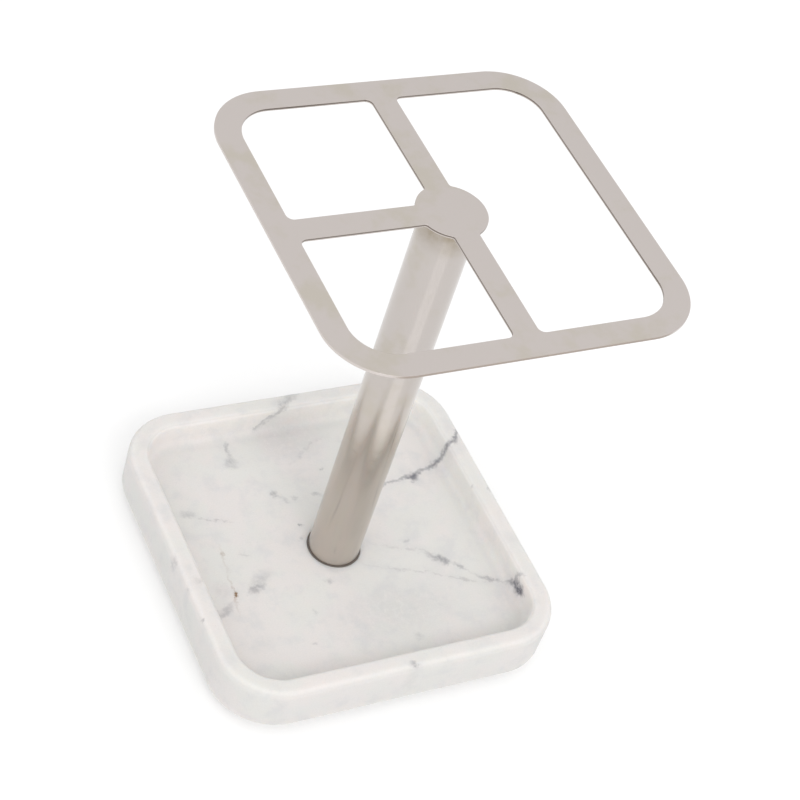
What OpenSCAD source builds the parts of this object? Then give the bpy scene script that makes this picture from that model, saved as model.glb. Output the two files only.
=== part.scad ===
// Razor stand: a dished marble base, a round steel post and a flat three-window steel frame.
// The origin is the centre of the footprint, on the surface that the feet stand on, with +Z up.
// Millimetres throughout.

/* [Stand] */
// Overall height, from the table to the top face of the frame
stand_h = 149; // [100:0.5:220]

/* [Marble base] */
// Width and depth of the square base
base_w = 110; // [90:1:160]
// Thickness of the slab at its rim
base_h = 15; // [12:0.5:25]
// Radius of the base's corners, seen from above
base_corner_r = 19; // [14:0.5:30]
// Width of the raised rim
rim_w = 6.2; // [4:0.1:10]
// Depth of the dish, from the rim to its floor
dish_depth = 10; // [7:0.5:10]
// Radius of the cove between the dish's wall and its floor
cove_r = 3.5; // [1:0.1:5]
// Rounding of the rim's outer edge
rim_outer_round = 2; // [0.5:0.1:2]
// Rounding of the rim's inner edge
rim_inner_round = 1.3; // [0.3:0.1:2]
// Rounding of the edge around the underside
underside_round = 1; // [0.3:0.1:2]
// Diameter of the shallow seat that the post stands in
seat_d = 17; // [16.8:0.1:20]
// Depth of that seat below the dish's floor
seat_depth = 0.6; // [0.5:0.1:2]

/* [Post] */
// Outside diameter of the post's tube
post_d = 16; // [14:0.5:16]
// Wall of the tube
post_wall = 1; // [0.8:0.1:2]
// Length of the threaded plug in the tube's lower end
plug_len = 10; // [9:0.5:20]
// Leg of the weld fillet between the tube and the frame
weld_leg = 0.8; // [0.4:0.1:1.5]

/* [Frame] */
// Width and depth of the square frame
frame_w = 106; // [90:1:150]
// Thickness of the frame's sheet
frame_t = 0.8; // [0.6:0.1:2]
// Width of the border
border_w = 7.3; // [5:0.1:9]
// Width of both bars
bar_w = 7.4; // [5:0.1:9]
// Radius of the frame's outer corners
frame_corner_r = 18.5; // [14:0.5:25]
// Diameter of the disc where the bars cross
hub_d = 20; // [19:0.5:30]
// Fillet where a bar meets the border
border_fillet_r = 2; // [0.5:0.1:3]
// Fillet where a bar meets the disc
hub_fillet_r = 1; // [0.3:0.1:3]

/* [Fixings] */
// Thread diameter of the fixing screw
screw_d = 5; // [4:1:5]
// Length of the screw below its head
screw_len = 12; // [10:1:12]
// Diameter of the screw's flat head
screw_head_d = 10; // [8:0.5:12]
// Thickness of the screw's head
screw_head_t = 1.5; // [1:0.1:1.5]
// Diameter of the clamp washer under the base
clamp_d = 24; // [20:1:30]
// Thickness of the clamp washer
clamp_t = 1.2; // [0.8:0.1:1.2]
// Thickness of the toothed lock washer
lock_t = 0.5; // [0.3:0.1:0.5]
// Thickness of the rubber gasket between the post and the bottom of its seat
gasket_t = 0.5; // [0.3:0.1:1]

/* [Feet] */
// Diameter of each stick-on foot
foot_d = 12.7; // [8:0.1:16]
// Height of each foot
foot_h = 3.5; // [3.5:0.1:6]
// Distance of each foot's centre from the middle of the base, along X and Y
foot_pos = 38; // [30:1:40]

/* [Hidden] */
$fn = 96;

// heights above the table
base_z = foot_h;
dish_z = base_z + base_h - dish_depth;
seat_z = dish_z - seat_depth;
post_z = seat_z + gasket_t;
frame_z = stand_h - frame_t;
lock_z = base_z - clamp_t - lock_t;

// how far a cutting solid runs past the face that it cuts
past = 1;

// radii around the corner centres of the base, which its rim and dish share
base_corner_c = base_w / 2 - base_corner_r;
dish_corner_r = base_corner_r - rim_w;
cove_start_r = dish_corner_r - cove_r;

// frame
window_half = frame_w / 2 - border_w;
window_corner_r = frame_corner_r - border_w;
// centre of the fillet circle that touches both a bar's edge and the disc
hub_fillet_side = bar_w / 2 + hub_fillet_r;
hub_fillet_along = sqrt(pow(hub_d / 2 + hub_fillet_r, 2) - pow(hub_fillet_side, 2));
// where the disc's outline crosses a bar's edge
hub_cross = sqrt(pow(hub_d / 2, 2) - pow(bar_w / 2, 2));
// where the fillet circle touches the disc, as a share of the way to that circle's centre
hub_touch = hub_d / (hub_d + 2 * hub_fillet_r);

// fixings
thread_pitch = 0.8;
thread_depth = 0.45;
thread_play = 0.1;
clear_hole_d = screw_d + 0.5;
gasket_d = seat_d - 0.2;
gasket_hole_d = clear_hole_d + 0.3;
lock_hole_d = screw_d + 0.2;
lock_outer_d = screw_head_d - 0.4;
lock_teeth = 8;
cross_w = 1.1;
cross_span = 4.4;
cross_depth = 1;

// feet
foot_draft = 0.7;
foot_round = 0.6;

stone_colour = [0.90, 0.89, 0.88];
steel_colour = [0.76, 0.74, 0.73];
dark_steel_colour = [0.55, 0.54, 0.53];
rubber_colour = [0.10, 0.10, 0.10];
silicone_colour = [0.82, 0.83, 0.83];

// The bit that rounding takes off a square corner at the origin, or that a fillet adds to it.
module corner_bit(r) {
    difference() {
        square(r);
        translate([r, r]) circle(r);
    }
}

// A rectangle from the origin. radii go round from the corner at the origin, anticlockwise.
module rounded_rect(w, h, radii) {
    difference() {
        square([w, h]);
        corner_bit(radii[0]);
        translate([w, 0]) rotate(90) corner_bit(radii[1]);
        translate([w, h]) rotate(180) corner_bit(radii[2]);
        translate([0, h]) rotate(270) corner_bit(radii[3]);
    }
}

module centred_round_square(w, r) {
    translate([-w / 2, -w / 2]) rounded_rect(w, w, [r, r, r, r]);
}

// Section of the rim, wall and cove. X is the distance from a corner centre.
module rim_section() {
    top = base_h;
    inner = dish_corner_r;
    outer = base_corner_r;
    floor_t = base_h - dish_depth;
    difference() {
        translate([inner, 0]) square([rim_w, top]);
        translate([inner, top]) rotate(270) corner_bit(rim_inner_round);
        translate([outer, top]) rotate(180) corner_bit(rim_outer_round);
        translate([outer, 0]) rotate(90) corner_bit(underside_round);
    }
    translate([cove_start_r, 0]) square([cove_r, floor_t]);
    translate([inner, floor_t]) rotate(90) corner_bit(cove_r);
}

// The rim section taken round the base: four straight sides and four quarter turns.
module rim_ring() {
    for (turn = [0 : 90 : 270]) {
        rotate(turn) {
            translate([base_corner_c, base_corner_c, 0])
                rotate_extrude(angle = 90) rim_section();
            translate([base_corner_c, base_corner_c, 0])
                rotate([90, 0, 0]) linear_extrude(2 * base_corner_c) rim_section();
        }
    }
}

module marble_base() {
    floor_t = base_h - dish_depth;
    color(stone_colour)
    difference() {
        translate([0, 0, base_z]) {
            rim_ring();
            linear_extrude(floor_t)
                centred_round_square(2 * (base_corner_c + cove_start_r), cove_start_r);
        }
        translate([0, 0, seat_z]) cylinder(h = seat_depth + past, d = seat_d);
        translate([0, 0, base_z - past]) cylinder(h = base_h, d = clear_hole_d);
    }
}

// A ring or tube standing on z = 0.
module ring(outer_d, inner_d, t) {
    difference() {
        cylinder(h = t, d = outer_d);
        translate([0, 0, -past]) cylinder(h = t + 2 * past, d = inner_d);
    }
}

module post_tube() {
    color(steel_colour)
    translate([0, 0, post_z]) ring(post_d, post_d - 2 * post_wall, frame_z - post_z);
}

// Fillets on both sides of a bar where it runs into the disc. The bar runs along +X. Each is
// drawn a little into the bar and the disc, so that the outline is one piece.
module hub_fillets() {
    bite = 0.5;
    for (side = [0, 1]) {
        mirror([0, side, 0])
        difference() {
            polygon([
                [hub_cross - bite, bar_w / 2 - bite],
                [hub_fillet_along, bar_w / 2 - bite],
                [hub_fillet_along, bar_w / 2],
                [hub_fillet_along, hub_fillet_side],
                [hub_fillet_along, hub_fillet_side] * hub_touch
            ]);
            translate([hub_fillet_along, hub_fillet_side]) circle(hub_fillet_r);
        }
    }
}

module frame_outline() {
    small = border_fillet_r;
    big = window_corner_r;
    half_bar = bar_w / 2;
    opening = window_half - half_bar;
    difference() {
        centred_round_square(frame_w, frame_corner_r);
        translate([half_bar, -window_half])
            rounded_rect(opening, 2 * window_half, [small, big, big, small]);
        translate([-window_half, -window_half])
            rounded_rect(opening, opening, [big, small, small, small]);
        translate([-window_half, half_bar])
            rounded_rect(opening, opening, [small, small, small, big]);
    }
    circle(d = hub_d);
    for (turn = [90, 180, 270]) rotate(turn) hub_fillets();
}

module top_frame() {
    color(steel_colour)
    translate([0, 0, frame_z]) linear_extrude(frame_t) frame_outline();
}

module weld_bead() {
    color(dark_steel_colour)
    translate([0, 0, frame_z])
    rotate_extrude()
    polygon([
        [post_d / 2, 0],
        [post_d / 2, -weld_leg],
        [post_d / 2 + weld_leg, 0]
    ]);
}

module threaded_plug() {
    plug_r = post_d / 2 - post_wall;
    bore_r = (screw_d + thread_play) / 2;
    chamfer = 0.5;
    color(dark_steel_colour)
    translate([0, 0, post_z])
    rotate_extrude()
    polygon([
        [bore_r + chamfer, 0],
        [plug_r, 0],
        [plug_r, plug_len - chamfer],
        [plug_r - chamfer, plug_len],
        [bore_r, plug_len],
        [bore_r, chamfer]
    ]);
}

module foot_gasket() {
    color(rubber_colour)
    translate([0, 0, seat_z]) ring(gasket_d, gasket_hole_d, gasket_t);
}

module clamp_washer() {
    color(steel_colour)
    translate([0, 0, base_z - clamp_t]) ring(clamp_d, clear_hole_d, clamp_t);
}

// A flat ring with slots that leave short teeth around its hole.
module lock_washer() {
    slot_w = 0.9;
    slot_r = 3.8;
    color(dark_steel_colour)
    translate([0, 0, lock_z])
    difference() {
        ring(lock_outer_d, lock_hole_d, lock_t);
        for (tooth = [0 : lock_teeth - 1]) {
            rotate(tooth * 360 / lock_teeth)
                translate([0, -slot_w / 2, -past]) cube([slot_r, slot_w, lock_t + 2 * past]);
        }
    }
}

// Flat-headed screw with a cross recess. Its thread is drawn as rings at the thread's pitch.
module fixing_screw() {
    r = screw_d / 2;
    turns = floor(screw_len / thread_pitch) - 1;
    plain = screw_len - turns * thread_pitch;
    head_edge = 0.4;
    color(steel_colour)
    translate([0, 0, lock_z])
    difference() {
        rotate_extrude()
        polygon(concat(
            [
                [0, -screw_head_t],
                [screw_head_d / 2 - head_edge, -screw_head_t],
                [screw_head_d / 2, -screw_head_t + head_edge],
                [screw_head_d / 2, 0],
                [r, 0],
                [r, plain]
            ],
            [
                for (turn = [0 : turns - 1], half = [0, 1])
                [half == 0 ? r - thread_depth : r, plain + (turn + (half + 1) / 2) * thread_pitch]
            ],
            [[0, screw_len]]
        ));
        for (turn = [0, 90]) {
            rotate(turn) translate([-cross_span / 2, -cross_w / 2, -screw_head_t - past])
                cube([cross_span, cross_w, cross_depth + past]);
        }
    }
}

module foot_at(side_x, side_y) {
    r = foot_d / 2;
    color(silicone_colour)
    translate([side_x * foot_pos, side_y * foot_pos, 0])
    rotate_extrude()
    difference() {
        polygon([
            [0, 0],
            [r - foot_draft, 0],
            [r, foot_h],
            [0, foot_h]
        ]);
        translate([r - foot_draft, 0]) rotate(45) square(foot_round, center = true);
    }
}

module foot_front_left() {
    foot_at(-1, -1);
}

module foot_front_right() {
    foot_at(1, -1);
}

module foot_rear_left() {
    foot_at(-1, 1);
}

module foot_rear_right() {
    foot_at(1, 1);
}

marble_base();
post_tube();
top_frame();
weld_bead();
threaded_plug();
foot_gasket();
clamp_washer();
lock_washer();
fixing_screw();
foot_front_left();
foot_front_right();
foot_rear_left();
foot_rear_right();
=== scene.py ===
import math

import bmesh
import bpy
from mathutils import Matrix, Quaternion, Vector, noise


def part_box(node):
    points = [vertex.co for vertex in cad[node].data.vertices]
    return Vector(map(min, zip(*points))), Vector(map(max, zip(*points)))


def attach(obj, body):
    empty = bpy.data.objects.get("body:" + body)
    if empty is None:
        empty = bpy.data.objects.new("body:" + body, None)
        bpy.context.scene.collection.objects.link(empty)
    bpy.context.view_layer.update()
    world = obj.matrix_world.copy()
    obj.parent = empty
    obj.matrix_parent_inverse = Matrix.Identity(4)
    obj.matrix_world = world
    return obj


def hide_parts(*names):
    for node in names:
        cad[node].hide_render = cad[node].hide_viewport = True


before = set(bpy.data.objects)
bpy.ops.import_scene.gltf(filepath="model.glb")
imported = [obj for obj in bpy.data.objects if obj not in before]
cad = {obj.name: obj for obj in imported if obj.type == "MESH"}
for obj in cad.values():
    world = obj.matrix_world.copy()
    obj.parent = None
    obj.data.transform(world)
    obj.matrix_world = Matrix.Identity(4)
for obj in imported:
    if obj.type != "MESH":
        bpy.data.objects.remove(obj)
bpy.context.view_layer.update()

MM = 0.001

# ------------------------------------------------------------------ camera
# A long lens above the stand's front left corner, turned about its own axis.
EYE = Vector((-264.8, -337.3, 497.8)) * MM
AIM = Vector((3.1, -2.5, 77.4)) * MM
CAMERA_ROLL = math.radians(-19.88)
LENS = 94.65
SENSOR = 36.0


def make_camera():
    data = bpy.data.cameras.new("camera")
    data.lens = LENS
    data.sensor_width = SENSOR
    data.clip_start = 0.01
    data.clip_end = 20.0
    camera = bpy.data.objects.new("camera", data)
    bpy.context.scene.collection.objects.link(camera)
    look = (AIM - EYE).normalized()
    camera.rotation_mode = "QUATERNION"
    camera.rotation_quaternion = Quaternion(look, CAMERA_ROLL) @ look.to_track_quat("-Z", "Y")
    camera.location = EYE
    bpy.context.scene.camera = camera


# ------------------------------------------------------------------ node trees
class Nodes:
    """Builds a node tree with short calls."""

    def __init__(self, tree):
        self.tree = tree

    def node(self, kind, inputs=(), **settings):
        made = self.tree.nodes.new("ShaderNode" + kind)
        for key, value in settings.items():
            setattr(made, key, value)
        for key, value in dict(inputs).items():
            self.feed(made.inputs[key], value)
        return made

    def feed(self, socket, value):
        if isinstance(value, bpy.types.NodeSocket):
            self.tree.links.new(value, socket)
        else:
            socket.default_value = value

    def math(self, operation, a, b=0.0, clamp=False):
        return self.node("Math", {0: a, 1: b}, operation=operation, use_clamp=clamp).outputs[0]

    def vector(self, operation, a, b=(0.0, 0.0, 0.0)):
        made = self.node("VectorMath", {0: a, 1: b}, operation=operation)
        return made.outputs["Value" if operation in ("DOT_PRODUCT", "LENGTH") else "Vector"]

    def millimetres(self):
        """The place on the object, in its own frame, in millimetres."""
        place = self.node("TexCoord").outputs["Object"]
        return self.vector("MULTIPLY", place, (1 / MM,) * 3)

    def normal(self, axis):
        """One part of the surface's normal in the object's own frame: 0, 1 or 2 for X, Y or Z."""
        return self.node("SeparateXYZ", {0: self.node("TexCoord").outputs["Normal"]}).outputs[axis]

    def noise(self, place, size, detail=2.0, roughness=0.5, output="Fac"):
        """Noise whose features are about size millimetres across, or (x, y, z) sizes."""
        sizes = (size,) * 3 if isinstance(size, (int, float)) else size
        scaled = self.vector("DIVIDE", place, sizes)
        inputs = {"Vector": scaled, "Scale": 1.0, "Detail": detail, "Roughness": roughness}
        return self.node("TexNoise", inputs).outputs[output]

    def ramp(self, value, low, high, to_low=0.0, to_high=1.0):
        """A smooth step of value from low to high."""
        inputs = {"Value": value, "From Min": low, "From Max": high,
                  "To Min": to_low, "To Max": to_high}
        return self.node("MapRange", inputs, interpolation_type="SMOOTHSTEP").outputs[0]

    def blend(self, factor, a, b):
        """Colour a turning into colour b."""
        made = self.node("Mix", {0: factor}, data_type="RGBA")
        self.feed(made.inputs[6], a)
        self.feed(made.inputs[7], b)
        return made.outputs[2]


class Shader(Nodes):
    """A material and the nodes around its Principled shader."""

    def __init__(self, name):
        self.material = bpy.data.materials.new(name)
        self.material.use_nodes = True
        super().__init__(self.material.node_tree)
        self.surface = self.tree.nodes["Principled BSDF"]

    def set(self, **inputs):
        """Sets the shader's own sockets. base_color stands for Base Color, and so on."""
        for key, value in inputs.items():
            socket = key.replace("_", " ").title().replace("Ior", "IOR")
            self.feed(self.surface.inputs[socket], value)

    def bump(self, height, distance, strength=1.0):
        inputs = {"Height": height, "Distance": distance * MM, "Strength": strength}
        self.set(normal=self.node("Bump", inputs).outputs[0])


def rgb(red, green, blue):
    return (red, green, blue, 1.0)


# ------------------------------------------------------------------ marble
# the base's own sizes, in millimetres
FLOOR_Z = 8.5
RIM_Z = 18.5
CORNER_R = 19.0
RIM_W = 6.2
DISH_R = CORNER_R - RIM_W
COVE_R = 3.5
OUTER_ROUND = 2.0
INNER_ROUND = 1.3
UNDER_ROUND = 1.0
SEAT_PLAY = 0.1
SEAT_EDGE = 0.08
SCREW_HOLE_R = 2.75

# Veins as (x, y, half width, strength) along each, in millimetres, at one height: the dish's floor
# or the rim. lean is how far a vein moves along X and Y for each millimetre of height. Its strength
# is 0 at both ends, so that it fades out.
DARK_VEINS = [
    {"at": FLOOR_Z, "lean": (0.0, -0.15), "points": [
        (12, 14, 0.8, 0.0), (25, 19, 1.1, 0.35), (34, 20.5, 1.2, 0.4), (37.5, 20.5, 2.6, 0.8),
        (40, 22, 1.2, 0.45), (46, 23.5, 1.6, 0.6), (50.5, 25.5, 1.6, 0.65), (53.5, 29, 1.5, 0.5),
        (55.5, 32, 1.2, 0.3), (58, 36, 0.8, 0.0)]},
    {"at": FLOOR_Z, "lean": (0.0, -0.3), "points": [
        (26, -8, 0.8, 0.0), (30, -11.5, 1.8, 0.35), (33, -13.5, 2.5, 0.5), (35, -15, 1.0, 0.1),
        (36.5, -17, 1.6, 0.35), (38.5, -19, 0.8, 0.08), (41, -21.5, 1.2, 0.2), (45, -24.5, 1.6, 0.4),
        (47, -26, 0.8, 0.15), (48.5, -27, 1.2, 0.3), (50, -28.5, 0.6, 0.0)]},
    {"at": RIM_Z, "lean": (0.97, -0.25), "points": [
        (-1, 47, 1.4, 0.0), (0, 48.5, 2.2, 0.3), (3, 52, 2.6, 0.3), (7, 54.5, 2.2, 0.2),
        (9, 56, 1.4, 0.0)]},
    {"at": FLOOR_Z, "lean": (0.0, 0.0), "points": [
        (-46.5, -17.5, 1.0, 0.0), (-43, -16, 2.2, 0.28), (-40.5, -14.5, 1.8, 0.2),
        (-37.5, -12.5, 0.8, 0.0)]},
    {"at": FLOOR_Z, "lean": (0.0, 0.0), "points": [
        (-18, 47, 0.6, 0.0), (-18.5, 44.5, 1.0, 0.3), (-19, 41, 1.8, 0.2), (-19.5, 38.5, 3.0, 0.28),
        (-20, 35.5, 1.6, 0.0)]},
]
FAINT_VEINS = [
    {"at": FLOOR_Z, "lean": (0.0, 0.0), "points": [
        (4, -8, 0.5, 0.0), (12, -11.5, 0.7, 0.16), (20, -14.5, 0.8, 0.2), (29, -18.5, 0.7, 0.22),
        (38, -23, 0.8, 0.25), (43.5, -24.5, 0.5, 0.0)]},
    {"at": FLOOR_Z, "lean": (0.0, 0.0), "points": [
        (10, -0.5, 0.8, 0.0), (15, -3, 1.3, 0.14), (21, -6, 1.0, 0.18), (27, -8.5, 1.0, 0.22),
        (32, -13.5, 0.8, 0.0)]},
    {"at": FLOOR_Z, "lean": (0.0, 0.0), "points": [
        (-40, 21, 1.0, 0.0), (-36, 19, 1.0, 0.25), (-32, 17.5, 0.8, 0.3), (-27, 15.5, 0.5, 0.0)]},
    {"at": FLOOR_Z, "lean": (0.0, 0.0), "points": [
        (-2, 33, 0.8, 0.0), (1.5, 35, 1.0, 0.14), (6, 38.5, 1.1, 0.16), (11, 41.5, 1.2, 0.16),
        (17, 42.5, 0.8, 0.0)]},
    {"at": FLOOR_Z, "lean": (0.0, 0.0), "points": [
        (-31.5, 4.5, 0.6, 0.0), (-30, 4, 0.8, 0.22), (-28, 3, 0.8, 0.2), (-26, 2, 0.5, 0.0)]},
]
RUST_VEINS = [
    {"at": FLOOR_Z, "lean": (0.0, 0.0), "points": [
        (-35, 9, 0.5, 0.0), (-35.5, 5, 0.7, 0.12), (-36.5, -2.5, 0.6, 0.1), (-37, -10.5, 0.8, 0.25),
        (-38, -15, 0.6, 0.12), (-39, -20, 0.5, 0.0)]},
]

# Spots as (centre, radii, turn about Z in degrees, strength).
DARK_SPOTS = [
    ((48.5, -29, 12), (2, 2.4, 2.2), 0, 0.5),
    ((49, -31.5, 13), (2.4, 3.4, 3.4), 0, 0.65),
    ((49, -34, 13.5), (2.4, 3, 3), 0, 0.6),
    ((49, -31.5, 12.5), (5, 7, 6), 0, 0.2),
    ((-27.5, -7, FLOOR_Z), (7.5, 3.4, 2.5), 36, 0.2),
    ((-30, -10, FLOOR_Z), (4.5, 1.8, 2), 18, 0.35),
    ((-40.5, 21.5, FLOOR_Z), (4.2, 2.4, 2), -15, 0.25),
    ((-11, 23.5, FLOOR_Z), (2.2, 1.6, 2), -40, 0.4),
    ((-8.5, 21, FLOOR_Z), (3.6, 1.3, 2), -50, 0.2),
    ((-5, 20.5, FLOOR_Z), (1.6, 1.4, 2), 0, 0.2),
    ((3, 20.5, FLOOR_Z), (3.2, 1.1, 2), -20, 0.25),
    ((-7, 10, FLOOR_Z), (1.2, 1.1, 2), 0, 0.55),
    ((-9, 5, FLOOR_Z), (1.5, 1.3, 2), 0, 0.25),
    ((8.5, 30, FLOOR_Z), (1.2, 1.0, 2), 20, 0.3),
    ((-7, -12.5, FLOOR_Z), (2.2, 1.8, 2), 0, 0.3),
    ((24, -3.5, FLOOR_Z), (1.4, 1.2, 2), 0, 0.25),
    ((12.5, -38.5, FLOOR_Z), (2.6, 2.4, 2), 0, 0.18),
    ((-20.5, -33, FLOOR_Z), (1.1, 1.0, 2), 0, 0.22),
    ((-16, -22.5, FLOOR_Z), (1.3, 1.4, 2), 0, 0.16),
    ((-40.5, -8.5, FLOOR_Z), (4, 5, 2.5), 0, 0.12),
    # painted shade: a broad faint darkening over the front of the dish's floor, where the front wall
    # shades it
    ((10, -27, FLOOR_Z), (34, 16, 3), 0, 0.1),
    # painted shadow: a broad soft grey patch at the foot of the back wall, for the top plate's shadow
    ((2, 44, 10), (19, 12, 9), 0, 0.12),
    ((1, -53.5, RIM_Z), (2.2, 1.7, 2.4), 0, 0.45),
    ((0.5, -55, 13.5), (3.4, 2.5, 9), 0, 0.08),
    ((54, 3, RIM_Z), (1.4, 1.2, 2), 0, 0.4),
    ((48.5, 5.5, RIM_Z), (1.2, 1.2, 2), 0, 0.35),
    ((-54.5, -1, 16.5), (1.6, 2.8, 4), 0, 0.28),
    ((-50.5, -9.5, RIM_Z), (2.2, 2.4, 2), 0, 0.18),
    ((-54.5, -12, 18), (1.2, 1.1, 1.2), 0, 0.25),
    ((-54.5, -23, 18), (1.1, 1.1, 1.2), 0, 0.4),
]
RUST_SPOTS = [
    ((-37, -10.5, FLOOR_Z), (0.7, 1.4, 2), -10, 0.85),
    ((-35.5, 5, FLOOR_Z), (0.9, 1.4, 2), 0, 0.25),
]


def curve_points(curve, points):
    """Puts points on one curve of a curves node, whose two end points are there already."""
    for index, (x, y) in enumerate(points):
        if index in (0, len(points) - 1):
            curve.points[0 if index == 0 else -1].location = (x, y)
        else:
            curve.points.new(x, y)


def vein(shader, place, points, at, lean):
    """How strongly one vein shows at place: its core, and the softer stain beside it."""
    start, end = Vector(points[0][:2]), Vector(points[-1][:2])
    length = (end - start).length
    along = (end - start) / length
    across = Vector((-along.y, along.x))
    off = [(Vector(p[:2]) - start).dot(across) for p in points]
    share = [(Vector(p[:2]) - start).dot(along) / length for p in points]
    reach = max(map(abs, off)) + 1.0
    widest = max(p[2] for p in points)

    # the lean is part of the two measures, so each is one dot product
    def measure(direction, size):
        rise = -(direction.x * lean[0] + direction.y * lean[1])
        value = shader.vector("DOT_PRODUCT", place, Vector((direction.x, direction.y, rise)) / size)
        shift = (start.dot(direction) + rise * at) / size
        return shader.math("SUBTRACT", value, shift)

    u = shader.math("MULTIPLY", measure(along, length), 1.0, clamp=True)
    v = measure(across, 1.0)
    curves = shader.node("RGBCurve", {"Color": u})
    curve_points(curves.mapping.curves[0], [(s, 0.5 + o / reach / 2) for s, o in zip(share, off)])
    curve_points(curves.mapping.curves[1], [(s, p[2] / widest) for s, p in zip(share, points)])
    curve_points(curves.mapping.curves[2], [(s, p[3]) for s, p in zip(share, points)])
    curves.mapping.update()
    parts = shader.node("SeparateColor", {"Color": curves.outputs[0]}).outputs
    middle = shader.math("MULTIPLY", shader.math("SUBTRACT", parts[0], 0.5), reach * 2)
    gap = shader.math("ABSOLUTE", shader.math("SUBTRACT", v, middle))
    width = shader.math("MULTIPLY", parts[1], widest)
    core = shader.ramp(gap, width, 0.0, 0.0, parts[2])
    stain = shader.ramp(gap, shader.math("MULTIPLY", width, 4.0), 0.0, 0.0, parts[2])
    return core, stain


def spot(shader, place, centre, radii, turn, strength):
    inputs = {"Vector": place, "Location": centre, "Scale": radii,
              "Rotation": (0.0, 0.0, math.radians(turn))}
    local = shader.node("Mapping", inputs, vector_type="TEXTURE").outputs[0]
    return shader.ramp(shader.vector("LENGTH", local), 1.0, 0.0, 0.0, strength)


def total(shader, values):
    result = values[0]
    for value in values[1:]:
        result = shader.math("ADD", result, value)
    return result


def corner_reach(s, place, high, corner_r):
    """How far place lies from the nearest corner's centre, or from the line that joins two."""
    centres = (high.x - corner_r, high.y - corner_r, high.z)
    beyond = s.vector("SUBTRACT", s.vector("ABSOLUTE", place), centres)
    return s.vector("LENGTH", s.vector("MAXIMUM", beyond))


def marble_material():
    s = Shader("marble")
    place = s.millimetres()
    reach = corner_reach(s, place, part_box("marble_base")[1] / MM, CORNER_R)
    # ragged edges: the place is shifted a little, coarsely and finely, before the marks are drawn
    shifted = place
    for size, amount in ((5.0, 2.4), (1.8, 2.6), (0.6, 0.9)):
        jitter = s.vector("SUBTRACT", s.noise(place, size, 2.0, 0.6, "Color"), (0.5, 0.5, 0.5))
        shifted = s.vector("ADD", shifted, s.vector("MULTIPLY", jitter, (amount,) * 3))

    dark = [vein(s, shifted, **v) for v in DARK_VEINS]
    faint = [vein(s, shifted, **v) for v in FAINT_VEINS]
    rust = [vein(s, shifted, **v) for v in RUST_VEINS]
    dark_spots = [spot(s, shifted, *mark) for mark in DARK_SPOTS]
    rust_spots = [spot(s, shifted, *mark) for mark in RUST_SPOTS]

    # the marks are broken up, and the faint ones fade in and out
    breaks = s.ramp(s.noise(place, 1.6, 3.0, 0.7), 0.3, 0.55, 0.5, 1.1)
    gaps = s.ramp(s.noise(place, 3.0, 3.0, 0.7), 0.42, 0.58, 0.1, 1.1)
    dark_amount = s.math("MULTIPLY", total(s, [core for core, _ in dark] + dark_spots), breaks, True)
    faint_amount = s.math("MULTIPLY", total(s, [core for core, _ in faint]), gaps, True)
    rust_amount = s.math("MULTIPLY", total(s, [core for core, _ in rust] + rust_spots), breaks, True)
    stain_amount = s.math("MULTIPLY", total(s, [stain for _, stain in dark + faint]), 0.2, True)

    # the body of the stone: warm white with greenish clouds, grey haze, specks and a fine grain
    clouds = s.ramp(s.noise(place, 14.0, 3.0, 0.55), 0.42, 0.6)
    colour = s.blend(clouds, rgb(0.785, 0.757, 0.741), rgb(0.765, 0.758, 0.734))
    aside = s.vector("ADD", place, (40.0, 0.0, 0.0))
    haze = s.ramp(s.noise(aside, 8.0, 4.0, 0.65), 0.46, 0.7, 0.0, 0.6)
    colour = s.blend(haze, colour, rgb(0.69, 0.685, 0.685))
    specks = s.ramp(s.noise(place, 0.9, 3.0, 0.65), 0.66, 0.78, 0.0, 0.35)
    colour = s.blend(specks, colour, rgb(0.55, 0.53, 0.54))
    grain = s.ramp(s.noise(place, 0.5, 2.0, 0.6), 0.3, 0.7, 0.0, 0.12)
    colour = s.blend(grain, colour, rgb(0.58, 0.57, 0.56))
    # painted light and shade: the outer sides' upright faces are painted a little darker, and the
    # dish's walls a little lighter
    upright = s.ramp(s.math("ABSOLUTE", s.normal(2)), 0.97, 0.5)
    painted_light_and_shade = s.ramp(reach, DISH_R, DISH_R + 0.6, 0.08, -0.10)
    colour = s.vector("MULTIPLY", colour, s.math("ADD", s.math("MULTIPLY", upright, painted_light_and_shade), 1.0))
    colour = s.blend(stain_amount, colour, rgb(0.44, 0.46, 0.50))
    colour = s.blend(faint_amount, colour, rgb(0.30, 0.28, 0.29))
    colour = s.blend(rust_amount, colour, rgb(0.27, 0.17, 0.09))
    colour = s.blend(dark_amount, colour, rgb(0.14, 0.14, 0.17))

    fine = s.noise(place, 0.5, 3.0, 0.6)
    s.set(base_color=colour, roughness=s.ramp(fine, 0.3, 0.7, 0.62, 0.75), specular_ior_level=0.35)
    s.set(subsurface_weight=0.9, subsurface_radius=(1.0, 0.9, 0.8), subsurface_scale=3.5 * MM)
    s.bump(fine, 0.02, 0.5)
    return s.material


# ------------------------------------------------------------------ metals, rubber, silicone
FRAME_CORNER_R = 18.5


def steel_colour(s, place, bright, ochre):
    """Warm stainless, with faint ochre stains and a few darker specks."""
    stains = s.ramp(s.noise(place, 13.0, 4.0, 0.6), 0.48, 0.68)
    specks = s.ramp(s.noise(place, 3.0, 3.0, 0.6), 0.72, 0.84, 0.0, 0.25)
    return s.blend(specks, s.blend(stains, bright, ochre), rgb(0.40, 0.33, 0.27))


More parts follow.
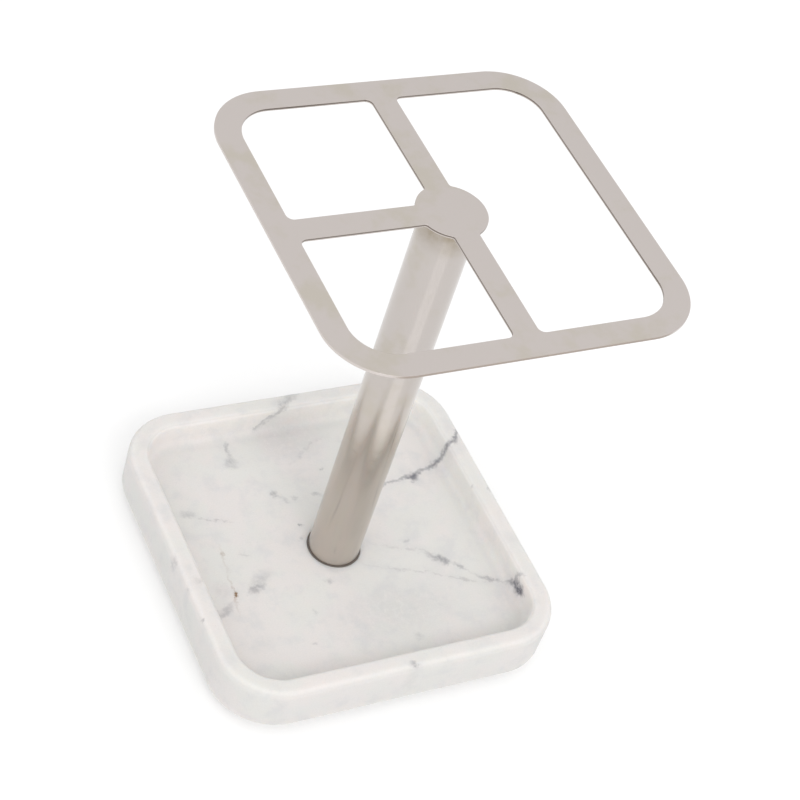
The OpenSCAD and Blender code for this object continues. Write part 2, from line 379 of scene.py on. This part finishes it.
def frame_material():
    """Satin sheet. Its windows' cut edges are dark, with the cutter's fine upright lines."""
    s = Shader("satin_sheet")
    place = s.millimetres()
    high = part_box("top_frame")[1] / MM
    reach = corner_reach(s, place, high, FRAME_CORNER_R)
    rim = s.ramp(reach, FRAME_CORNER_R - 1.2, FRAME_CORNER_R - 0.8)
    edge = s.ramp(s.math("ABSOLUTE", s.normal(2)), 0.45, 0.1)
    bright = rgb(0.665, 0.610, 0.580)
    face = steel_colour(s, place, bright, rgb(0.630, 0.580, 0.515))
    lower = s.ramp(s.node("SeparateXYZ", {0: place}).outputs[2], high.z - 0.35, high.z - 0.6)
    window_edge = s.blend(lower, rgb(0.19, 0.16, 0.14), rgb(0.58, 0.53, 0.50))
    # painted reflection: the outer cut edge is painted light where it faces left or right and brown
    # where it faces front or back, for the surroundings it mirrors; the windows' edges keep the cut
    # steel's own dark colour
    sideways = s.ramp(s.math("ABSOLUTE", s.normal(0)), 0.15, 0.4)
    painted_edge_reflection = s.blend(sideways, rgb(0.39, 0.33, 0.29), rgb(0.62, 0.57, 0.54))
    cut_edge_and_reflection = s.blend(rim, window_edge, painted_edge_reflection)
    brushed = s.noise(place, (2.5, 0.12, 0.6), 3.0, 0.6)
    lines = s.noise(place, (0.12, 0.12, 4.0), 2.0, 0.6)
    s.set(base_color=s.blend(edge, face, cut_edge_and_reflection), metallic=1.0)
    s.set(roughness=s.ramp(brushed, 0.3, 0.7, 0.29, 0.32))
    s.bump(s.blend(edge, brushed, lines), 0.001, 0.4)
    return s.material


def post_material():
    """Tube polished round its girth, so that reflections are drawn out along its length."""
    s = Shader("polished_tube")
    place = s.millimetres()
    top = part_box("post_tube")[1].z / MM
    height = s.node("SeparateXYZ", {0: place}).outputs[2]
    colour = steel_colour(s, place, rgb(0.535, 0.495, 0.470), rgb(0.500, 0.460, 0.405))
    # heat tint under the weld, painted darker as the shade under the disc, and a lighter, yellower
    # colour low down
    low_warm_tone = s.ramp(height, 100.0, 55.0, 0.0, 0.8)
    heat_tint_and_shade = s.ramp(height, top - 11.0, top - 1.0, 0.0, 1.2)
    colour = s.blend(low_warm_tone, colour, rgb(0.605, 0.555, 0.500))
    colour = s.blend(s.math("MULTIPLY", heat_tint_and_shade, s.noise(place, 4.0, 3.0)), colour, rgb(0.30, 0.25, 0.18))
    rings = s.noise(place, (6.0, 6.0, 0.4), 2.0, 0.6)
    s.set(base_color=colour, metallic=1.0)
    s.set(roughness=s.ramp(rings, 0.3, 0.7, 0.13, 0.17))
    s.set(anisotropic=0.75, anisotropic_rotation=0.25)
    s.set(tangent=s.node("Tangent", direction_type="RADIAL", axis="Z").outputs[0])
    return s.material


def turned_material(name, colour, tarnish, rough):
    """A small metal part with fine turning marks and a little tarnish."""
    s = Shader(name)
    place = s.millimetres()
    cloud = s.ramp(s.noise(place, 2.2, 4.0, 0.6), 0.4, 0.7, 0.0, 0.7)
    marks = s.noise(place, (3.0, 3.0, 0.08), 2.0, 0.6)
    s.set(base_color=s.blend(cloud, colour, tarnish), metallic=1.0)
    s.set(roughness=s.ramp(cloud, 0.0, 0.7, rough, rough + 0.12))
    s.bump(marks, 0.004, 0.4)
    return s.material


def weld_material():
    """Cleaned weld metal, straw and blue-grey where the heat ran."""
    s = Shader("weld_metal")
    place = s.millimetres()
    heat = s.ramp(s.noise(place, 2.5, 3.0, 0.6), 0.35, 0.65)
    colour = s.blend(heat, rgb(0.42, 0.37, 0.30), rgb(0.33, 0.33, 0.36))
    s.set(base_color=colour, metallic=1.0)
    s.set(roughness=s.ramp(s.noise(place, 0.5, 3.0), 0.3, 0.7, 0.3, 0.5))
    s.bump(s.noise(place, 0.25, 3.0), 0.03, 0.5)
    return s.material


def rubber_material():
    s = Shader("gasket_rubber")
    place = s.millimetres()
    dust = s.ramp(s.noise(place, 1.2, 4.0, 0.65), 0.45, 0.75, 0.0, 0.5)
    s.set(base_color=s.blend(dust, rgb(0.15, 0.13, 0.115), rgb(0.24, 0.22, 0.20)))
    s.set(roughness=s.ramp(dust, 0.0, 0.5, 0.55, 0.75))
    s.bump(s.noise(place, 0.2, 3.0), 0.02, 0.4)
    return s.material


def silicone_material():
    """Clear-grey silicone, softly translucent, with a trace of dust."""
    s = Shader("foot_silicone")
    place = s.millimetres()
    dust = s.ramp(s.noise(place, 2.0, 4.0, 0.65), 0.45, 0.75, 0.0, 0.4)
    s.set(base_color=s.blend(dust, rgb(0.74, 0.75, 0.75), rgb(0.55, 0.55, 0.54)))
    s.set(roughness=s.ramp(dust, 0.0, 0.4, 0.28, 0.5))
    s.set(subsurface_weight=0.6, subsurface_radius=(1.0, 1.0, 1.0), subsurface_scale=2.0 * MM)
    s.bump(s.noise(place, 0.4, 3.0), 0.015, 0.4)
    return s.material


# ------------------------------------------------------------------ mesh helpers
def mesh_object(name, vertices, faces):
    """A piece from corners in millimetres, shaded smooth."""
    mesh = bpy.data.meshes.new(name)
    mesh.from_pydata([Vector(v) * MM for v in vertices], [], faces)
    shape = bmesh.new()
    shape.from_mesh(mesh)
    bmesh.ops.recalc_face_normals(shape, faces=shape.faces)
    shape.to_mesh(mesh)
    shape.free()
    mesh.polygons.foreach_set("use_smooth", [True] * len(mesh.polygons))
    made = bpy.data.objects.new(name, mesh)
    bpy.context.scene.collection.objects.link(made)
    return made


def loft(name, rings, closed=False, caps=()):
    """Skins rings that have the same number of points. closed joins the last to the first, and
    caps are the places in the list of the rings that a flat face closes."""
    count = len(rings[0])
    vertices = [point for ring in rings for point in ring]
    faces = []
    for i in range(len(rings) if closed else len(rings) - 1):
        a, b = i * count, (i + 1) % len(rings) * count
        for j in range(count):
            k = (j + 1) % count
            faces.append((a + j, a + k, b + k, b + j))
    faces += [tuple(range(cap * count, (cap + 1) * count)) for cap in caps]
    return mesh_object(name, vertices, faces)


def arc(centre_x, centre_y, radius, start, end, steps):
    """Points on an arc, angles in degrees."""
    angles = [math.radians(start + (end - start) * i / steps) for i in range(steps + 1)]
    return [(centre_x + radius * math.cos(a), centre_y + radius * math.sin(a)) for a in angles]


# ------------------------------------------------------------------ marble base
CORNER_STEPS = 14
SIDE_STEPS = 44
SIDE_RINGS = 6
TOP_RINGS = 3
WALL_RINGS = 3
FLOOR_RINGS = 18
UNDER_RINGS = 8
# the floor's first loop lies this far inside the cove
FLOOR_START = 2.5
# the most that hand finishing takes off, and the sizes of its slow and fast waves
WEAR = 0.07
SLOW_WAVE = 9
FAST_WAVE = 3


def base_loop(corner, reach, z):
    """One loop round the base, reach from its corner centres, from the middle of the right side."""
    loop = []
    for quarter in range(4):
        turn = quarter * math.pi / 2
        cos, sin = round(math.cos(turn)), round(math.sin(turn))
        side = [(corner + reach, corner * (2 * i / SIDE_STEPS - 1)) for i in range(SIDE_STEPS)]
        bend = arc(corner, corner, reach, 0, 90, CORNER_STEPS)[:-1]
        loop += [(cos * x - sin * y, sin * x + cos * y, z) for x, y in side + bend]
    return loop


def round_loop(pattern, radius, z):
    """A circle whose points lie at the same angles as those of another loop."""
    return [(*(Vector((x, y)).normalized() * radius), z) for x, y, _ in pattern]


def between(a, b, share):
    return [tuple(Vector(p).lerp(Vector(q), share)) for p, q in zip(a, b)]


def worn(point):
    """Hand finishing: each point of the stone's skin goes in by up to WEAR, in slow waves."""
    x, y, z = point
    slow = noise.noise(Vector((x, y, z * 2)) / SLOW_WAVE)
    wave = slow + 0.5 * noise.noise(Vector(point) / FAST_WAVE)
    depth = WEAR * min(max(0.5 + 0.5 * wave, 0.0), 1.0)
    away = Vector((x, y)).length
    return (x * (1 - depth / away), y * (1 - depth / away), z)


def rim_profile(bottom, top):
    """The section from the underside's edge, over the rim and down to the dish's floor, as
    (reach from the corner centres, z) points."""
    side_rise = (top - bottom) / SIDE_RINGS
    rim_outer = CORNER_R - OUTER_ROUND
    rim_inner = DISH_R + INNER_ROUND
    rim_step = (rim_inner - rim_outer) / TOP_RINGS
    cove_reach = DISH_R - COVE_R
    cove_top = FLOOR_Z + COVE_R
    wall_rise = (top - cove_top - INNER_ROUND) / WALL_RINGS
    return (
        arc(CORNER_R - UNDER_ROUND, bottom + UNDER_ROUND, UNDER_ROUND, -90, 0, 4)
        + [(CORNER_R, bottom + side_rise * i) for i in range(1, SIDE_RINGS)]
        + arc(rim_outer, top - OUTER_ROUND, OUTER_ROUND, 0, 90, 6)
        + [(rim_outer + rim_step * i, top) for i in range(1, TOP_RINGS)]
        + arc(rim_inner, top - INNER_ROUND, INNER_ROUND, 90, 180, 5)
        + [(DISH_R, cove_top + wall_rise * i) for i in reversed(range(1, WALL_RINGS))]
        + arc(cove_reach, cove_top, COVE_R, 0, -90, 8)
        + [(cove_reach - FLOOR_START, FLOOR_Z)]
    )


def make_marble_base():
    low, high = (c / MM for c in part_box("marble_base"))
    corner = high.x - CORNER_R
    profile = rim_profile(low.z, high.z)
    rings = [[worn(p) for p in base_loop(corner, reach, z)] for reach, z in profile]
    gasket_low, gasket_high = (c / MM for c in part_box("foot_gasket"))
    seat_r = gasket_high.x + SEAT_PLAY
    inside = base_loop(corner, profile[-1][0], FLOOR_Z)
    lip = round_loop(inside, seat_r + SEAT_EDGE, FLOOR_Z)
    rings += [between(inside, lip, i / FLOOR_RINGS) for i in range(1, FLOOR_RINGS)]
    edge = arc(seat_r + SEAT_EDGE, FLOOR_Z - SEAT_EDGE, SEAT_EDGE, 90, 180, 4)
    edge += [(seat_r, gasket_low.z), (SCREW_HOLE_R, gasket_low.z)]
    rings += [round_loop(inside, r, z) for r, z in edge]
    under = round_loop(inside, SCREW_HOLE_R, low.z)
    outside = base_loop(corner, profile[0][0], low.z)
    rings += [between(under, outside, i / UNDER_RINGS) for i in range(UNDER_RINGS)]
    base = loft("stone_base", rings, closed=True)
    base.data.materials.append(marble_material())
    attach(base, "root")
    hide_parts("marble_base")


# ------------------------------------------------------------------ stage
def make_stage():
    """A glossy white table top, which mirrors a little of the softbox."""
    scene = bpy.context.scene
    scene.view_settings.view_transform = "Standard"
    bpy.ops.mesh.primitive_plane_add(size=8)
    floor = bpy.context.object
    floor.name = "floor"
    table = Shader("white_acrylic")
    table.set(base_color=rgb(0.82, 0.82, 0.82), roughness=0.15)
    table.set(emission_color=rgb(1.0, 1.0, 1.0), emission_strength=0.2)
    floor.data.materials.append(table.material)


def make_world():
    """A white dome, brighter towards the front left and dimmer near the horizon. A dimmer
    stretch at the back right gives the polished tube something to mirror."""
    world = bpy.data.worlds.new("dome")
    bpy.context.scene.world = world
    world.use_nodes = True
    w = Nodes(world.node_tree)
    direction = w.node("TexCoord").outputs["Generated"]
    front_left = w.vector("DOT_PRODUCT", direction, Vector((-0.6, -0.8, 0.0)).normalized())
    side = w.node("MapRange", {"Value": front_left, "To Min": 0.90, "To Max": 1.35}).outputs[0]
    behind = w.ramp(front_left, -0.98, -0.82, 0.6, 1.0)
    height = w.ramp(w.node("SeparateXYZ", {0: direction}).outputs[2], 0.0, 0.45, 0.65, 1.0)
    background = world.node_tree.nodes["Background"]
    background.inputs["Color"].default_value = rgb(1.0, 1.0, 1.0)
    strength = w.math("MULTIPLY", w.math("MULTIPLY", side, behind), height)
    w.feed(background.inputs["Strength"], strength)


def make_key_light():
    """A softbox in front, a little to the camera's right."""
    data = bpy.data.lights.new("key", "AREA")
    data.shape = "RECTANGLE"
    data.size, data.size_y = 0.9, 0.5
    data.energy = 4.7
    light = bpy.data.objects.new("key", data)
    light.location = Vector((-0.2, -1.1, 1.15))
    light.rotation_mode = "QUATERNION"
    light.rotation_quaternion = (AIM - light.location).to_track_quat("-Z", "Y")
    bpy.context.scene.collection.objects.link(light)


# ------------------------------------------------------------------ small pieces
# length of plain shank between the screw's head and its thread
THREAD_LEAD = 0.3


def stand_for(piece, node, material):
    piece.data.materials.append(material)
    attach(piece, "root")
    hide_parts(node)


def lathe(name, profile, centre, steps=48):
    """Turns an outline of (radius, z) points about a vertical line, with flat ends."""
    rings = [[(x, y, z) for x, y in arc(*centre, radius, 0, 360, steps)[:-1]] for radius, z in profile]
    return loft(name, rings, caps=(0, len(rings) - 1))


def make_foot(node, material):
    """A moulded bumper: drafted side, rounded shoulder and a faintly dished underside."""
    low, high = (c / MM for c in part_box(node))
    centre = (low + high) / 2
    radius = (high.x - low.x) / 2
    draft, shoulder, lip = 0.7, 0.9, 0.15
    # the dish's depth, and how far inside the tread its edge, its slope and its flat lie
    dish, dish_edge, dish_slope, dish_flat = 0.15, 0.5, 1.3, 2.0
    tread = radius - draft - shoulder
    profile = (
        arc(radius - lip, high.z - lip, lip, 90, 0, 3)
        + [(radius - draft / 2, high.z / 2)]
        + arc(tread, shoulder, shoulder, 0, -90, 6)
        + [(tread - dish_edge, 0.0), (tread - dish_slope, dish / 2), (tread - dish_flat, dish)]
    )
    foot = lathe(node + "_bumper", profile, (centre.x, centre.y))
    stand_for(foot, node, material)


def make_weld(material):
    """The fillet under the disc, with the overlapping ripples that a hand weld leaves."""
    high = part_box("weld_bead")[1] / MM
    tube_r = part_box("post_tube")[1].x / MM
    leg = high.x - tube_r
    # the fillet starts a little inside the tube's wall, and just below the sheet
    root_r = tube_r - 0.1
    top = high.z - 0.001
    ripples, steps_each, across = 62, 8, 6
    # its size as shares of the leg: the least, what a ripple adds, and a slow drift in 5 waves
    least, ripple, drift, drifts = 0.84, 0.12, 0.03, 5
    belly_share = 0.98
    steps = ripples * steps_each
    rings = []
    for step in range(steps):
        turn = 2 * math.pi * step / steps
        phase = step % steps_each / steps_each
        swell = least + ripple * math.sqrt(phase) + drift * math.sin(drifts * turn)
        belly = arc(0, 0, leg * swell, 0, 90, across)
        section = [(root_r, top)]
        section += [(tube_r + out * belly_share, top - down * belly_share) for out, down in belly]
        section += [(root_r, high.z - leg * swell)]
        rings.append([(r * math.cos(turn), r * math.sin(turn), z) for r, z in section])
    weld = loft("weld_fillet", rings, closed=True)
    stand_for(weld, "weld_bead", material)


def thread_rings(thread_r, start, end, rows, steps):
    """Rings of a right-handed M5 thread that grows shallower towards both ends."""
    pitch, depth = 0.8, 0.45
    rings = []
    for row in range(rows + 1):
        z = start + (end - start) * row / rows
        fade = min(1.0, (end - z) / pitch, (z - start + THREAD_LEAD) / pitch)
        ring = []
        for step in range(steps):
            turn = 2 * math.pi * step / steps
            groove = abs((z / pitch - step / steps) % 1.0 * 2 - 1)
            radius = thread_r - depth * groove * fade
            ring.append((radius * math.cos(turn), radius * math.sin(turn), z))
        rings.append(ring)
    return rings


def make_screw(material):
    """Machine screw with a true helical thread and a cross recess in its low head."""
    low, high = (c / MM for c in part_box("fixing_screw"))
    thread_r, head_r, head_t, edge = 2.45, high.x, 1.5, 0.4
    soft = edge * 0.3
    head_top = low.z + head_t
    rows, steps = 112, 40
    head = [
        (head_r - edge, low.z),
        (head_r - soft, low.z + soft),
        (head_r, low.z + edge),
        (head_r, head_top),
        (thread_r, head_top),
    ]
    rings = [[(x, y, z) for x, y in arc(0, 0, r, 0, 360, steps)[:-1]] for r, z in head]
    rings += thread_rings(thread_r, head_top + THREAD_LEAD, high.z, rows, steps)
    screw = loft("machine_screw", rings, caps=(len(rings) - 1,))
    cut_recess(screw.data, low.z)
    stand_for(screw, "fixing_screw", material)


def cut_recess(mesh, z):
    """Closes the screw's head with a flat face that has a tapered cross sunk in it."""
    half, span, depth, taper, sharp = 0.55, 2.2, 1.0, 0.75, math.radians(35)
    outline = []
    for quarter in range(4):
        cos, sin = round(math.cos(quarter * math.pi / 2)), round(math.sin(quarter * math.pi / 2))
        for x, y in ((span, -half), (span, half), (half, half)):
            outline.append((cos * x - sin * y, sin * x + cos * y))
    shape = bmesh.new()
    shape.from_mesh(mesh)
    rim_edges = [e for e in shape.edges if e.is_boundary]
    top = [shape.verts.new(Vector((x, y, z)) * MM) for x, y in outline]
    deep = [shape.verts.new(Vector((x * taper, y * taper, z + depth)) * MM) for x, y in outline]
    count = len(outline)
    edges = [shape.edges.new((top[i], top[(i + 1) % count])) for i in range(count)]
    bmesh.ops.triangle_fill(shape, edges=edges + rim_edges, use_beauty=True)
    for i in range(count):
        j = (i + 1) % count
        shape.faces.new((top[i], top[j], deep[j], deep[i]))
    shape.faces.new(deep)
    bmesh.ops.recalc_face_normals(shape, faces=shape.faces)
    shape.to_mesh(mesh)
    shape.free()
    mesh.polygons.foreach_set("use_smooth", [True] * len(mesh.polygons))
    mesh.set_sharp_from_angle(angle=sharp)


# ------------------------------------------------------------------ CAD nodes that stay
def finish_node(name, material, edge=0.0, segments=2):
    """Gives a CAD node its material and, if edge is set, a broken edge of that width."""
    node = cad[name]
    node.data.materials.clear()
    node.data.materials.append(material)
    if edge:
        weld = node.modifiers.new("weld", "WELD")
        weld.merge_threshold = 0.001 * MM
        bevel = node.modifiers.new("edge", "BEVEL")
        bevel.width = edge * MM
        bevel.segments = segments
        bevel.limit_method = "ANGLE"
        bevel.angle_limit = math.radians(40)
        node.modifiers.new("normals", "WEIGHTED_NORMAL").keep_sharp = False


make_camera()
make_stage()
make_world()
make_key_light()
make_marble_base()
finish_node("post_tube", post_material(), 0.15)
finish_node("top_frame", frame_material(), 0.22, 3)
make_weld(weld_material())
turned = turned_material("turned_steel", rgb(0.50, 0.49, 0.48), rgb(0.40, 0.38, 0.36), 0.3)
finish_node("threaded_plug", turned)
finish_node("foot_gasket", rubber_material(), 0.08)
zinc = turned_material("zinc_plate", rgb(0.62, 0.63, 0.66), rgb(0.55, 0.54, 0.50), 0.24)
finish_node("clamp_washer", zinc, 0.12)
finish_node("lock_washer", zinc, 0.04)
make_screw(zinc)
silicone = silicone_material()
for place in ("front_left", "front_right", "rear_left", "rear_right"):
    make_foot("foot_" + place, silicone)
